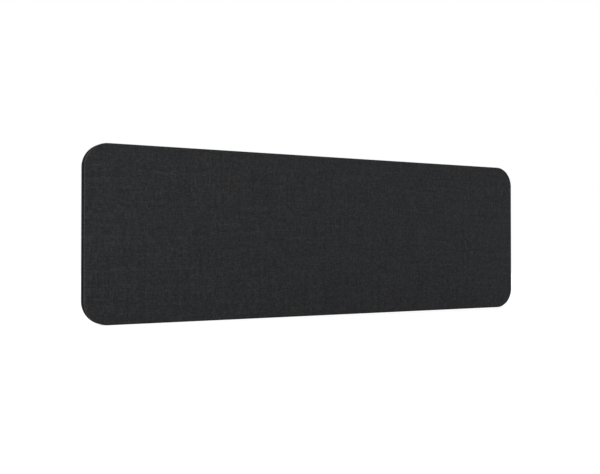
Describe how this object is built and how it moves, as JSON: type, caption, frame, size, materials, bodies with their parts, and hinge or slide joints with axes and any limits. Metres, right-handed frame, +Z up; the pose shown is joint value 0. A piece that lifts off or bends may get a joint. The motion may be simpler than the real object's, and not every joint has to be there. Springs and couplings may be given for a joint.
{
  "type": "desk divider screen",
  "caption": "Low upholstered desk divider screen with rounded corners: front and rear fabric covers over padded boards on a timber frame, joined by a zip in a recess round the edge.",
  "frame": {"origin": "on the desk, under the middle of the screen's length and thickness", "axes": "+X along the screen, to the right as seen from the front; +Y from front to rear, so the front face looks along -Y; +Z up"},
  "size_m": [1.4, 0.032, 0.45],
  "materials": {
    "cover_fabric": "matte",
    "wadding": "matte",
    "hardboard": "matte",
    "screw_steel": "satin",
    "timber": "matte",
    "dowel_wood": "matte",
    "absorber": "matte",
    "zip_tape": "matte",
    "zip_teeth": "satin",
    "zip_metal": "satin"
  },
  "bodies": {
    "screen": {"front_cover": "cover_fabric", "rear_cover": "cover_fabric", "front_wadding": "wadding", "rear_wadding": "wadding", "front_board": "hardboard", "rear_board": "hardboard", "front_board_screws": "screw_steel", "rear_board_screws": "screw_steel", "frame_bottom_rail": "timber", "frame_top_rail": "timber", "frame_left_stile": "timber", "frame_right_stile": "timber", "frame_middle_stile_1": "timber", "frame_middle_stile_2": "timber", "corner_block_bottom_left": "timber", "corner_block_bottom_right": "timber", "corner_block_top_left": "timber", "corner_block_top_right": "timber", "frame_dowels": "dowel_wood", "absorber_slab_1": "absorber", "absorber_slab_2": "absorber", "absorber_slab_3": "absorber", "front_zip_tape": "zip_tape", "rear_zip_tape": "zip_tape", "front_zip_teeth": "zip_teeth", "rear_zip_teeth": "zip_teeth", "zip_start_box": "zip_metal", "zip_end_stops": "zip_metal"},
    "slider": {"zip_slider": "zip_metal"},
    "pull": {"slider_pull": "zip_metal"}
  },
  "joints": [
    {"name": "zip_slide", "type": "slide", "parent": "screen", "child": "slider", "axis": [1, 0, 0], "range_m": [0, 0.598]},
    {"name": "pull_hinge", "type": "hinge", "parent": "slider", "child": "pull", "pos_m": [0.0163, 0, 0.0025], "axis": [0, 1, 0], "range_deg": [0, 180]}
  ]
}
